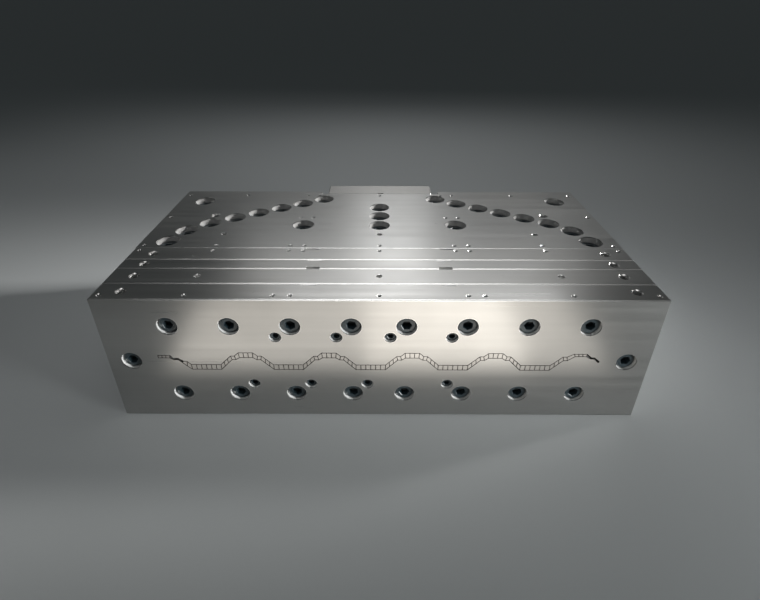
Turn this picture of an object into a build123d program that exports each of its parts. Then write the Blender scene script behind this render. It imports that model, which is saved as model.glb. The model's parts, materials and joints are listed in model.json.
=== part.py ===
"""Panel extrusion die: four slot plates bolted to a split coat-hanger manifold body.

Units are millimetres. +X runs along the slot, +Y from the lip face back to the melt inlet, +Z up.
The origin lies on the underside, at the centre of the space that the die takes up.
"""

import os

from build123d import *

os.makedirs("parts", exist_ok=True)

# Die block
die_width = 1060
die_height = 290
lip_depth = 54
preland_depth = 56
mandrel_plate_depth = 37
transition_depth = 51
body_depth = 332
edge_chamfer = 2.0
fine_chamfer = 0.6

# Inlet adapter, which sits in a shallow recess of the body's back face
adapter_width = 284
adapter_depth = 62
recess_depth = 16
recess_side_gap = 18
inlet_radius = 30
spigot_radius = 45
spigot_depth = 6
seal_width = 12
seal_thickness = 8
seal_fit = 0.1
seal_seat_radius = inlet_radius + seal_width + seal_fit

# Panel section that the slot gives, between the middles of the slot lines
wave_pitch = 161.4
wave_count = 5
first_valley = -338.85
wave_height = 42
panel_thickness = 12
valley_flat = 58
crest_flat = 28
ledge_near = 22.5
ledge_far = 30
ledge_drop = 8.2
ledge_thickness = 9
skin_lean = 2
valley_cells = 6
crest_cells = 3
flank_cells = 3
slot_gap = 1.1

# Melt passage behind the slot
mandrel_gap = 6
finger_length = 90
nose_length = 12
nose_room = 1
nose_share = 0.25
land_gap = 10
land_width = 862
land_straight = 58
arm_start_inset = 22
arm_start_radius = 25
arm_end_radius = 9
island_width = 56
island_length = 76

# Legs and feet that hold the mandrel in its plate
leg_width = 8
leg_length = 30
foot_width = 24
foot_height = 20
foot_depth = 25
foot_reach = 52
foot_fit = 0.1

# Socket head screws: shank diameter, head diameter, head height, width across the socket's flats
M30 = (30, 45, 30, 22)
M24 = (24, 36, 24, 19)
M20 = (20, 30, 20, 17)
M14 = (14, 21, 14, 12)
M8 = (8, 13, 8, 6)
screw_clearance = 2
thread_fit = 0.2
thread_end_room = 10
clamp_head_clearance = 5
head_clearance = 4
lip_head_clearance = 3
foot_head_clearance = 2
front_head_below = 5
top_head_below = 12
adapter_head_below = 3
foot_head_below = 2
long_screw_length = 200
end_screw_length = 150
lip_screw_length = 60
clamp_screw_length = 150
adapter_screw_length = 80
foot_screw_length = 25

# Dowels
dowel_diameter = 16
dowel_length = 40
dowel_fit = 0.05
dowel_end_room = 2

# Holes for what others fasten to the die: radius, radius at the mouth, depth
M20_TAPPED = (8.75, 10.5, 38)
SENSOR_POCKET = (6.0, 6.6, 90)
probe_seat_radius = 0.01
probe_seat_depth = 3.6
COVER_TAPPED = (3.4, 5.0, 20)
flange_circle_radius = 85
flange_bolts = 8

# Pry slots in the top edges of the joints
pry_slot_depth = 6
wide_pry_slot_depth = 8
pry_slot_drop = 12
pry_slot_width = 28
pry_slot_x = 134
body_pry_slot_x = 145
adapter_pry_slot_width = 16
adapter_pry_slot_x = 2

# Depths behind the lip face, and heights, that the sizes above work out to
lip_back = lip_depth
preland_back = lip_back + preland_depth
mandrel_plate_back = preland_back + mandrel_plate_depth
transition_back = mandrel_plate_back + transition_depth
body_back = transition_back + body_depth
recess_floor = body_back - recess_depth
adapter_back = recess_floor + adapter_depth
arm_start = recess_floor - arm_start_inset
arm_end = transition_back + land_straight
front = -adapter_back / 2
mid_height = die_height / 2
half_width = die_width / 2
half_land = land_width / 2
crest_top = wave_height / 2
valley_top = panel_thickness - wave_height / 2


def both_sides(points):
    """The given places and their mirror images across the die's middle."""
    return [(side * across, along) for across, along in points for side in (-1, 1)]


# Places on the lip face and on the plates' joints: distance from the middle, height
front_row_rise = 84
front_column_start = 52
front_column_pitch = 115
end_screw_inset = 47
lip_row_rise = 59
plate_dowel_inset = 22
plate_dowel_rise = 62
long_screw_places = both_sides([
    (front_column_start + column * front_column_pitch, mid_height + rise)
    for column in range(4) for rise in (-front_row_rise, front_row_rise)
])
end_screw_places = both_sides([(half_width - end_screw_inset, mid_height)])
lip_screw_places = [(x, mid_height + lip_row_rise) for x in (-197, -81, 22, 139)]
lip_screw_places += [(x, mid_height - lip_row_rise) for x in (-250, -136, -23, 137)]

# Places on the top: distance from the middle, depth behind the lip face
clamp_row_start = (149, arm_start - 16)
clamp_row_end = (half_land - 24, arm_end + 70)
clamp_row_count = 6
coat_hanger_places = both_sides([
    tuple(a + (b - a) * step / (clamp_row_count - 1) for a, b in zip(clamp_row_start, clamp_row_end))
    for step in range(clamp_row_count)
] + [(half_land + 18.7, arm_end + 29), (half_land + 41, arm_end - 25)])
centre_screw_pitch = 53.7
centre_screw_last = arm_start - 71.5
island_places = [(0, centre_screw_last - step * centre_screw_pitch) for step in range(3)]
island_places += both_sides([(182, arm_start - 176)])
corner_places = both_sides([(half_width - 67, body_back - 70)])
body_dowel_places = both_sides([
    (half_width - 30, transition_back + 64), (half_width - 30, body_back - 35)
])
lifting_column = half_width - 50
body_lifting_places = both_sides([(407, arm_end + 112)])
cover_columns = [164, 195, 358, half_width - 15]
cover_front_inset = 14
cover_joint_inset = 12
cover_back_inset = 29
middle_cover_places = both_sides([
    (163, arm_end + 101), (193.5, arm_end + 101), (half_width - 15, arm_end + 103)
])
sensor_columns = [357]
body_sensor_depth = transition_back + 67

# Places on the adapter's back face: distance from the middle, height
adapter_screw_places = both_sides([
    (adapter_width / 2 - 34, mid_height + rise) for rise in (-105, -55, 55, 105)
])
adapter_dowel_places = [
    (side * (adapter_width / 2 - 24), mid_height + side * 80) for side in (-1, 1)
]


def at_depth(depth):
    """Plane parallel to the lip face, a depth behind it, with its normal towards the front."""
    return Plane(origin=(0, front + depth, 0), x_dir=(1, 0, 0), z_dir=(0, -1, 0))


def from_behind(depth):
    """The same plane seen from behind: its normal points to the back and its y axis down."""
    return Plane(origin=(0, front + depth, 0), x_dir=(1, 0, 0), z_dir=(0, 1, 0))


def at_height(height):
    """Level plane in which y is the depth behind the lip face."""
    return Plane(origin=(0, front, height))


def flipped(points):
    """The same places on a plane whose y axis points the other way."""
    return [(x, -y) for x, y in points]


def row(depth, columns):
    """Places of a row across the top: one in the middle and one at each column on both sides."""
    return [(0, depth)] + both_sides([(x, depth) for x in columns])


def lifting_pair(depth):
    """The two lifting holes in a plate's top, a depth behind the lip face."""
    return both_sides([(lifting_column, depth)])


# The panel's section is a row of stations, each with its point on the top and on the bottom skin


def station(top_x, top_z, bottom_x, bottom_z):
    """A line across the panel, with heights given from the die's mid-height."""
    return (top_x, mid_height + top_z), (bottom_x, mid_height + bottom_z)


def between(first, last, share):
    """The station that lies at a share of the way from the first to the last."""
    return tuple(
        tuple(a + (b - a) * share for a, b in zip(start, end)) for start, end in zip(first, last)
    )


def flank(crest_x, side):
    """Corner stations from a crest's edge over the ledge to the valley beside it."""
    ledge_top = crest_top - ledge_drop
    valley_edge = (wave_pitch - valley_flat) / 2
    return [
        station(crest_x + side * above, height, crest_x + side * below, height - thickness)
        for above, height, below, thickness in (
            (crest_flat / 2, crest_top, crest_flat / 2 - skin_lean / 2, panel_thickness),
            (ledge_near, ledge_top, ledge_near - skin_lean, ledge_thickness),
            (ledge_far, ledge_top, ledge_far - skin_lean, ledge_thickness),
            (valley_edge, valley_top, valley_edge, panel_thickness),
        )
    ]


# Thin edge laps, where one panel lies on the next: each corner with the cells up to the next one
left_edge = first_valley - wave_pitch / 2
right_edge = first_valley + (wave_count - 0.5) * wave_pitch
left_lap = [
    (station(left_edge - 9.5, 14.2, left_edge - 9.5, 7.6), crest_cells),
    (station(left_edge + 14.0, 14.2, left_edge + 12.5, 7.6), 0),
    (station(left_edge + 19.7, 6.8, left_edge + 19.7, 3.0), 0),
    (station(left_edge + 28.4, 6.8, left_edge + 28.4, 3.0), 0),
    (station(left_edge + 38.0, -0.4, left_edge + 35.0, -4.0), 1),
    (station(left_edge + 45.0, -1.5, left_edge + 43.0, -13.0), 1),
]
right_lap = [
    (station(right_edge - 9.5, 20.0, right_edge - 7.0, 14.0), crest_cells),
    (station(right_edge + 15.3, 20.0, right_edge + 14.7, 14.0), 0),
    (station(right_edge + 25.1, 11.2, right_edge + 23.7, 8.0), 0),
    (station(right_edge + 31.3, 11.2, right_edge + 30.5, 8.0), 0),
    (station(right_edge + 42.3, 1.8, right_edge + 40.7, -1.2), 0),
]
corners = list(left_lap)
for wave in range(wave_count):
    valley_x = first_valley + wave * wave_pitch
    down = flank(valley_x - wave_pitch / 2, 1)
    up = flank(valley_x + wave_pitch / 2, -1)[::-1]
    if wave > 0:
        corners += zip(down[:3], (1, 1, flank_cells))
    corners += zip([down[3]] + up[:3], (valley_cells, flank_cells, 1, 1))
    if wave < wave_count - 1:
        corners.append((up[3], crest_cells))
corners += right_lap

top_skin = [place[0] for place, _ in corners]
bottom_skin = [place[1] for place, _ in corners]
section_corners = top_skin + bottom_skin[::-1]

core_cells = []
for (here, cells), (after, _) in zip(corners, corners[1:]):
    for cell in range(cells):
        left, right = between(here, after, cell / cells), between(here, after, (cell + 1) / cells)
        core_cells.append([left[0], right[0], right[1], left[1]])


def grown(points, amount):
    """A closed outline, listed clockwise, moved outwards by an amount with its corners sharp."""
    moved = []
    for before, here, after in zip(points[-1:] + points[:-1], points, points[1:] + points[:1]):
        lead = (Vector(*here) - Vector(*before)).normalized()
        trail = (Vector(*after) - Vector(*here)).normalized()
        out_of_lead, out_of_trail = Vector(-lead.Y, lead.X), Vector(-trail.Y, trail.X)
        corner = (out_of_lead + out_of_trail) * (amount / (1 + out_of_lead.dot(out_of_trail)))
        moved.append((here[0] + corner.X, here[1] + corner.Y))
    return moved


def flattened(points):
    """A section's outline pressed into the straight slot in which the manifold's land ends."""
    left_end, right_end = min(x for x, _ in points), max(x for x, _ in points)
    half = len(points) // 2
    return [
        (land_width * ((x - left_end) / (right_end - left_end) - 0.5),
         mid_height + (land_gap / 2 if place < half else -land_gap / 2))
        for place, (x, _) in enumerate(points)
    ]


def pinched(points, share):
    """A section's outline with each top and bottom corner drawn together, to a share of their gap."""
    keep = (1 + share) / 2
    return [
        (keep * x + (1 - keep) * far_x, keep * z + (1 - keep) * far_z)
        for (x, z), (far_x, far_z) in zip(points, points[::-1])
    ]


lip_outline = grown(section_corners, slot_gap / 2)
core_outline = grown(section_corners, -slot_gap / 2)
channel_outline = grown(section_corners, mandrel_gap)


def section(outline, depth):
    """The face inside a clockwise outline, parallel to the lip face and a depth behind it."""
    return at_depth(depth) * Face(Wire.make_polygon([(x, z, 0) for x, z in outline[::-1]]))


def drill(plane, points, radius, depth):
    """Round holes from a plane into the part that is being built."""
    with BuildSketch(plane) as mouths:
        with Locations(*points):
            Circle(radius)
    extrude(mouths.sketch, amount=-depth, mode=Mode.SUBTRACT)


def countersink(plane, points, hole):
    """Holes with a countersunk mouth in the part that is being built."""
    radius, mouth, depth = hole
    drill(plane, points, radius, depth)
    with Locations(plane):
        with Locations(*points):
            Cone(radius, mouth, mouth - radius, align=(Align.CENTER, Align.CENTER, Align.MAX),
                 mode=Mode.SUBTRACT)


def clearance(size):
    """Radius of the hole that a screw passes through."""
    return (size[0] + screw_clearance) / 2


def thread(size):
    """Radius of the hole that a screw is turned into."""
    return (size[0] + thread_fit) / 2


def counterbore(size, room):
    """Radius of the counterbore around a screw's head."""
    return (size[1] + room) / 2


def blank(start, depth):
    """A full plate of the die block, to be extruded into the part that is being built."""
    with BuildSketch(at_depth(start)) as outline:
        with Locations((0, mid_height)):
            Rectangle(die_width, die_height)
    extrude(outline.sketch, amount=-depth)


def dowel_places(joint):
    """Two places for a joint's dowels, above or below mid-height in turn from joint to joint."""
    rise = plate_dowel_rise if joint % 2 else -plate_dowel_rise
    return both_sides([(half_width - plate_dowel_inset, mid_height + rise)])


def dowel_holes(plane, points):
    """The holes for one half of some dowels' length."""
    drill(plane, points, dowel_diameter / 2 + dowel_fit, dowel_length / 2 + dowel_end_room)


def pry_slots(start, depth, middles, width):
    """Notches in the top edge of a joint, where its two sides are levered apart."""
    with BuildSketch(at_height(die_height)) as notches:
        with Locations(*[(x, start + depth / 2) for x in middles]):
            Rectangle(width, depth)
    extrude(notches.sketch, amount=-pry_slot_drop, mode=Mode.SUBTRACT)


def leg_shapes(fit, mode):
    """The mandrel's legs and feet, larger by a fit, added to or cut from the part being built."""
    with BuildSketch(at_height(mid_height)) as legs:
        with Locations(*[(x, mandrel_plate_back - leg_length / 2) for x in leg_columns]):
            SlotOverall(leg_length + 2 * fit, leg_width + 2 * fit, rotation=90)
    extrude(legs.sketch, amount=foot_reach - foot_height, both=True, mode=mode)
    with BuildSketch(at_depth(mandrel_plate_back)) as feet:
        with Locations(*[(x, mid_height + rise) for x in leg_columns for rise in foot_rises]):
            Rectangle(foot_width + 2 * fit, foot_height + 2 * fit)
    extrude(feet.sketch, amount=foot_depth, mode=mode)


def lap_middle(lap):
    """Middle of the flat part of an edge lap."""
    (start, _), (end, _) = lap[:2]
    return (start[0][0] + end[0][0]) / 2


leg_columns = [first_valley + step * wave_pitch / 2 for step in range(2 * wave_count - 1)]
leg_columns += [lap_middle(left_lap), lap_middle(right_lap)]
foot_rises = (foot_height / 2 - foot_reach, foot_reach - foot_height / 2)
foot_screw_places = [
    (first_valley + wave * wave_pitch, mid_height + rise)
    for wave in (0, wave_count // 2, wave_count - 1) for rise in foot_rises
]

# Lip plate
with BuildPart() as lip_plate:
    blank(0, lip_depth)
    chamfer(lip_plate.edges(), edge_chamfer)
    extrude(section(lip_outline, 0), amount=-lip_depth, mode=Mode.SUBTRACT)
    drill(at_depth(0), long_screw_places + end_screw_places, clearance(M24), lip_depth)
    drill(at_depth(0), long_screw_places + end_screw_places, counterbore(M24, head_clearance),
          front_head_below + M24[2])
    drill(at_depth(0), lip_screw_places, clearance(M14), lip_depth)
    drill(at_depth(0), lip_screw_places, counterbore(M14, lip_head_clearance),
          front_head_below + M14[2])
    dowel_holes(from_behind(lip_back), flipped(dowel_places(1)))
    countersink(at_height(die_height), lifting_pair(lip_depth / 2), M20_TAPPED)
    countersink(at_height(die_height), row(cover_front_inset, cover_columns), COVER_TAPPED)
    pry_slots(lip_back - pry_slot_depth, pry_slot_depth, (-pry_slot_x, pry_slot_x), pry_slot_width)

# Pre-land plate, whose window narrows from the mandrel's channel to the slot; its probes seat in cones
with BuildPart() as preland_plate:
    blank(lip_back, preland_depth)
    chamfer(preland_plate.edges(), edge_chamfer)
    loft([section(lip_outline, lip_back), section(channel_outline, preland_back)],
         ruled=True, mode=Mode.SUBTRACT)
    drill(at_depth(lip_back), long_screw_places + end_screw_places, clearance(M24), preland_depth)
    drill(at_depth(lip_back), lip_screw_places, thread(M14),
          front_head_below + M14[2] + lip_screw_length + thread_end_room - lip_depth)
    dowel_holes(at_depth(lip_back), dowel_places(1))
    dowel_holes(from_behind(preland_back), flipped(dowel_places(2)))
    countersink(at_height(die_height), lifting_pair(lip_back + preland_depth / 2), M20_TAPPED)
    countersink(at_height(die_height), row(lip_back + preland_depth / 2, sensor_columns),
                SENSOR_POCKET)
    with Locations(at_height(die_height - SENSOR_POCKET[2])):
        with Locations(*row(lip_back + preland_depth / 2, sensor_columns)):
            Cone(probe_seat_radius, SENSOR_POCKET[0], probe_seat_depth,
                 align=(Align.CENTER, Align.CENTER, Align.MAX), mode=Mode.SUBTRACT)

# Mandrel plate, with pockets from behind for the mandrel's legs and feet
with BuildPart() as mandrel_plate:
    blank(preland_back, mandrel_plate_depth)
    chamfer(mandrel_plate.edges(), edge_chamfer)
    extrude(section(channel_outline, preland_back), amount=-mandrel_plate_depth, mode=Mode.SUBTRACT)
    leg_shapes(foot_fit, Mode.SUBTRACT)
    drill(at_depth(preland_back), long_screw_places + end_screw_places, clearance(M24),
          mandrel_plate_depth)
    drill(at_depth(preland_back), foot_screw_places, thread(M8), mandrel_plate_depth)
    dowel_holes(at_depth(preland_back), dowel_places(2))
    dowel_holes(from_behind(mandrel_plate_back), flipped(dowel_places(3)))
    countersink(at_height(die_height), lifting_pair(preland_back + mandrel_plate_depth / 2),
                M20_TAPPED)
    for start, depth in ((preland_back, wide_pry_slot_depth),
                         (mandrel_plate_back - pry_slot_depth, pry_slot_depth)):
        pry_slots(start, depth, (-pry_slot_x, pry_slot_x), pry_slot_width)

# Transition plate, whose window turns from the waved channel into the manifold's straight slot
with BuildPart() as transition_plate:
    blank(mandrel_plate_back, transition_depth)
    joint_edges = transition_plate.faces().sort_by(Axis.Y)[-1].edges()
    chamfer(transition_plate.edges() - joint_edges, edge_chamfer)
    chamfer(transition_plate.faces().sort_by(Axis.Y)[-1].edges(), fine_chamfer)
    nose_end = mandrel_plate_back + nose_length + nose_room
    extrude(section(channel_outline, mandrel_plate_back), amount=-(nose_length + nose_room),
            mode=Mode.SUBTRACT)
    loft([section(channel_outline, nose_end), section(flattened(channel_outline), transition_back)],
         ruled=True, mode=Mode.SUBTRACT)
    drill(at_depth(mandrel_plate_back), long_screw_places, clearance(M24), transition_depth)
    drill(at_depth(mandrel_plate_back), end_screw_places, thread(M24),
          front_head_below + M24[2] + end_screw_length + thread_end_room - mandrel_plate_back)
    dowel_holes(at_depth(mandrel_plate_back), dowel_places(3))
    dowel_holes(from_behind(transition_back), flipped(dowel_places(4)))
    countersink(at_height(die_height), lifting_pair(mandrel_plate_back + transition_depth / 2),
                M20_TAPPED)
    countersink(at_height(die_height), row(transition_back - cover_joint_inset, cover_columns),
                COVER_TAPPED)
    pry_slots(transition_back - pry_slot_depth, pry_slot_depth,
              (-body_pry_slot_x, body_pry_slot_x), pry_slot_width)

# Mandrel: a waved bar with one finger for each of the panel's cells, a pointed back edge, and legs
with BuildPart() as mandrel:
    with BuildSketch(at_depth(0)):
        for cell in core_cells:
            with BuildLine():
                Polyline(*grown(cell, -slot_gap / 2), close=True)
            make_face()
    extrude(amount=-finger_length)
    extrude(section(core_outline, finger_length), amount=finger_length - mandrel_plate_back)
    loft([section(core_outline, mandrel_plate_back),
          section(pinched(core_outline, nose_share), mandrel_plate_back + nose_length)], ruled=True)
    leg_shapes(0, Mode.ADD)
    drill(from_behind(mandrel_plate_back), flipped(foot_screw_places), clearance(M8), leg_length)
    drill(from_behind(mandrel_plate_back), flipped(foot_screw_places),
          counterbore(M8, foot_head_clearance), foot_head_below + M8[2])

# Melt passage through the body: inlet, two arms of the coat hanger, and the flat land before them
with BuildPart() as melt:
    with BuildSketch(at_height(mid_height)):
        with BuildLine():
            Polyline((-half_land, transition_back), (-half_land, arm_end), (0, arm_start),
                     (half_land, arm_end), (half_land, transition_back), close=True)
        make_face()
        with Locations(*island_places):
            SlotOverall(island_length, island_width, rotation=90, mode=Mode.SUBTRACT)
    extrude(amount=land_gap / 2, both=True)
    with BuildSketch(at_depth(arm_start)):
        with Locations((0, mid_height)):
            Circle(inlet_radius)
    extrude(amount=arm_start - recess_floor)
    with Locations((0, front + arm_start, mid_height)):
        Sphere(inlet_radius)
    for side in (-1, 1):
        arm_from = Vector(0, front + arm_start, mid_height)
        arm_to = Vector(side * half_land, front + arm_end, mid_height)
        with BuildSketch(Plane(origin=arm_from, z_dir=arm_to - arm_from)):
            Circle(arm_start_radius)
        with BuildSketch(Plane(origin=arm_to, z_dir=arm_to - arm_from)):
            Circle(arm_end_radius)
        loft()
        with Locations(arm_to):
            Sphere(arm_end_radius)


def body_half(bottom, up):
    """One half of the manifold body, from its parting face up or down, without its own holes."""
    with BuildPart() as half:
        with BuildSketch(at_height(bottom)):
            with Locations((0, (transition_back + body_back) / 2)):
                Rectangle(die_width, body_depth)
            with Locations((0, body_back - recess_depth / 2)):
                Rectangle(adapter_width + 2 * recess_side_gap, recess_depth, mode=Mode.SUBTRACT)
        extrude(amount=mid_height)
        outer = half.faces().sort_by(Axis.Z)[-1 if up else 0]
        chamfer(outer.edges(), fine_chamfer)
        chamfer(half.edges().filter_by(Axis.Y).group_by(Axis.Z)[0 if up else -1], fine_chamfer)
        add(melt.part, mode=Mode.SUBTRACT)
        drill(from_behind(recess_floor), [(0, -mid_height)], seal_seat_radius, seal_thickness / 2)
        rows = [place for place in long_screw_places if (place[1] > mid_height) == up]
        drill(at_depth(transition_back), rows, thread(M24),
              front_head_below + M24[2] + long_screw_length + thread_end_room - transition_back)
        rows = [place for place in adapter_screw_places if (place[1] > mid_height) == up]
        drill(from_behind(recess_floor), flipped(rows), thread(M20),
              adapter_head_below + M20[2] + adapter_screw_length + thread_end_room - adapter_depth)
        rows = [place for place in adapter_dowel_places if (place[1] > mid_height) == up]
        dowel_holes(from_behind(recess_floor), flipped(rows))
        dowel_holes(at_height(mid_height).reverse() if up else at_height(mid_height),
                    flipped(body_dowel_places) if up else body_dowel_places)
        rows = [place for place in dowel_places(4) if (place[1] > mid_height) == up]
        if rows:
            dowel_holes(at_depth(transition_back), rows)
    return half.part


clamp_places = coat_hanger_places + island_places + corner_places
clamp_head_seat = die_height - top_head_below - M30[2]
body_cover_places = (
    row(transition_back + cover_joint_inset, cover_columns) + middle_cover_places
    + row(body_back - cover_back_inset, cover_columns)
)

# Upper half of the manifold body
with BuildPart() as upper_body:
    add(body_half(mid_height, True))
    drill(at_height(die_height), clamp_places, clearance(M30), mid_height)
    drill(at_height(die_height), clamp_places, counterbore(M30, clamp_head_clearance),
          top_head_below + M30[2])
    countersink(at_height(die_height), body_lifting_places, M20_TAPPED)
    countersink(at_height(die_height), row(body_sensor_depth, sensor_columns), SENSOR_POCKET)
    countersink(at_height(die_height), body_cover_places, COVER_TAPPED)

# Lower half of the manifold body
with BuildPart() as lower_body:
    add(body_half(0, False))
    drill(at_height(mid_height), clamp_places, thread(M30),
          clamp_screw_length + thread_end_room - (clamp_head_seat - mid_height))

# Inlet adapter, with the tapped circle for the melt line's flange on its back
with BuildPart() as inlet_adapter:
    with BuildSketch(at_depth(recess_floor)):
        with Locations((0, mid_height)):
            Rectangle(adapter_width, die_height)
    extrude(amount=-adapter_depth)
    chamfer(inlet_adapter.edges(), edge_chamfer)
    centre = [(0, -mid_height)]
    drill(from_behind(adapter_back), centre, inlet_radius, adapter_depth)
    drill(from_behind(adapter_back), centre, spigot_radius, spigot_depth)
    drill(at_depth(recess_floor), [(0, mid_height)], seal_seat_radius, seal_thickness / 2)
    drill(from_behind(adapter_back), flipped(adapter_screw_places), clearance(M20), adapter_depth)
    drill(from_behind(adapter_back), flipped(adapter_screw_places),
          counterbore(M20, head_clearance), adapter_head_below + M20[2])
    with BuildSketch(from_behind(adapter_back)) as flange_holes:
        with Locations((0, -mid_height)):
            with PolarLocations(flange_circle_radius, flange_bolts, start_angle=180 / flange_bolts):
                Circle(M20_TAPPED[0])
    extrude(amount=-M20_TAPPED[2], mode=Mode.SUBTRACT)
    dowel_holes(at_depth(recess_floor), adapter_dowel_places)
    pry_slots(recess_floor, pry_slot_depth, [adapter_pry_slot_x], adapter_pry_slot_width)

# Seal ring at the melt joint between adapter and body
with BuildPart() as seal_ring:
    with BuildSketch(at_depth(recess_floor - seal_thickness / 2)):
        with Locations((0, mid_height)):
            Circle(inlet_radius + seal_width)
            Circle(inlet_radius, mode=Mode.SUBTRACT)
    extrude(amount=-seal_thickness)


def socket_screw(size, length):
    """Socket head screw along -Z, with the underside of its head at the origin."""
    shank, head, head_height, socket = size
    with BuildPart() as screw:
        Cylinder(head / 2, head_height, align=(Align.CENTER, Align.CENTER, Align.MIN))
        with BuildSketch(Plane.XY.offset(head_height)):
            RegularPolygon(socket / 2, 6, major_radius=False)
        extrude(amount=-head_height / 2, mode=Mode.SUBTRACT)
        Cylinder(shank / 2, length, align=(Align.CENTER, Align.CENTER, Align.MAX))
    return screw.part


def dowel():
    """Dowel pin along Z, with its middle at the origin."""
    with BuildPart() as pin:
        Cylinder(dowel_diameter / 2, dowel_length)
    return pin.part


def placed(item, plane, points):
    """A group of separate copies of an item, one at each point of a plane."""
    with BuildPart() as group:
        with Locations(plane):
            with Locations(*points):
                add(item)
    return group


front_seat = at_depth(front_head_below + M24[2])
top_seat = at_height(clamp_head_seat)
pieces = {
    "lip_plate": lip_plate,
    "preland_plate": preland_plate,
    "mandrel_plate": mandrel_plate,
    "transition_plate": transition_plate,
    "mandrel": mandrel,
    "upper_body": upper_body,
    "lower_body": lower_body,
    "inlet_adapter": inlet_adapter,
    "seal_ring": seal_ring,
    "long_front_screws": placed(socket_screw(M24, long_screw_length), front_seat, long_screw_places),
    "end_front_screws": placed(socket_screw(M24, end_screw_length), front_seat, end_screw_places),
    "lip_screws": placed(socket_screw(M14, lip_screw_length),
                         at_depth(front_head_below + M14[2]), lip_screw_places),
    "coat_hanger_screws": placed(socket_screw(M30, clamp_screw_length), top_seat, coat_hanger_places),
    "centre_screws": placed(socket_screw(M30, clamp_screw_length), top_seat, island_places),
    "corner_screws": placed(socket_screw(M30, clamp_screw_length), top_seat, corner_places),
    "adapter_screws": placed(socket_screw(M20, adapter_screw_length),
                             from_behind(adapter_back - adapter_head_below - M20[2]),
                             flipped(adapter_screw_places)),
    "foot_screws": placed(socket_screw(M8, foot_screw_length),
                          from_behind(mandrel_plate_back - foot_head_below - M8[2]),
                          flipped(foot_screw_places)),
    "lip_dowels": placed(dowel(), at_depth(lip_back), dowel_places(1)),
    "preland_dowels": placed(dowel(), at_depth(preland_back), dowel_places(2)),
    "mandrel_plate_dowels": placed(dowel(), at_depth(mandrel_plate_back), dowel_places(3)),
    "transition_dowels": placed(dowel(), at_depth(transition_back), dowel_places(4)),
    "body_dowels": placed(dowel(), at_height(mid_height), body_dowel_places),
    "adapter_dowels": placed(dowel(), at_depth(recess_floor), adapter_dowel_places),
}
for name, piece in pieces.items():
    piece.part.label = name
    export_step(piece.part, f"parts/{name}.step")
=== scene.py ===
"""Looks of a panel extrusion die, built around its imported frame.

Lengths are metres in the frame's own axes: +X along the slot, +Y from the lip face back to the melt
inlet and +Z up. The blocks are the frame's own nodes and only get their finishes here. The screws are
modelled again in full, and the threads, the punch marks and the studio are added.
"""

import json
import logging
import math
import random
from collections.abc import Callable, Iterator, Mapping, Sequence
from contextlib import contextmanager
from dataclasses import dataclass, field
from enum import Enum
from typing import Any

import bmesh
import bpy
from mathutils import Euler, Matrix, Vector


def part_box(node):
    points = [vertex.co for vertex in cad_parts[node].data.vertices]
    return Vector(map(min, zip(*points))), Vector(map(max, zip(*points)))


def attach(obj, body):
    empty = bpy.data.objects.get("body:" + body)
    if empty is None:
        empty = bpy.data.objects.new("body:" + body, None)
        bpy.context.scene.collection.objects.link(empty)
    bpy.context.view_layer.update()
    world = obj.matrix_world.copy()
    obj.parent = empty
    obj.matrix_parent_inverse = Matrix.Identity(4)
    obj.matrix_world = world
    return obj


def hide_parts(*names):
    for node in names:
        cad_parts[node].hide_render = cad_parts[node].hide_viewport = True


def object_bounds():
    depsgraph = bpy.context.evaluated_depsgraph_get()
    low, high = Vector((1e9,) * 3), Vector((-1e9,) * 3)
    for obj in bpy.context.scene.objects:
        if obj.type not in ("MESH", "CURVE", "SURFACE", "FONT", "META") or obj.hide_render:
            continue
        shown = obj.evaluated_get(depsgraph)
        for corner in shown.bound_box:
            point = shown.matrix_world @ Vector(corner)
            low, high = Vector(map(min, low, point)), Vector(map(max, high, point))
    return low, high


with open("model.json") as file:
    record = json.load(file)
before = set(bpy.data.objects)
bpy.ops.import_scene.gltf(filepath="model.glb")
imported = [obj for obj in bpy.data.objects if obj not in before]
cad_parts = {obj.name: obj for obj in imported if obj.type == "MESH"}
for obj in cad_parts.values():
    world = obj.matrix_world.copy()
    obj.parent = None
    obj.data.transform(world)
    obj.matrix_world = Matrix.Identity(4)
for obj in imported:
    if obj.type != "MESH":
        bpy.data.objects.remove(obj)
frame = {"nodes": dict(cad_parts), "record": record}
cad_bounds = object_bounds()

log = logging.getLogger("panel_die")

MM = 0.001
BODY = "root"

Colour = tuple[float, float, float, float]
Point = tuple[float, float, float]
# The lowest and the highest corner.
Box = tuple[Sequence[float], Sequence[float]]
# A number, a colour or a Signal.
Value = Any


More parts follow.
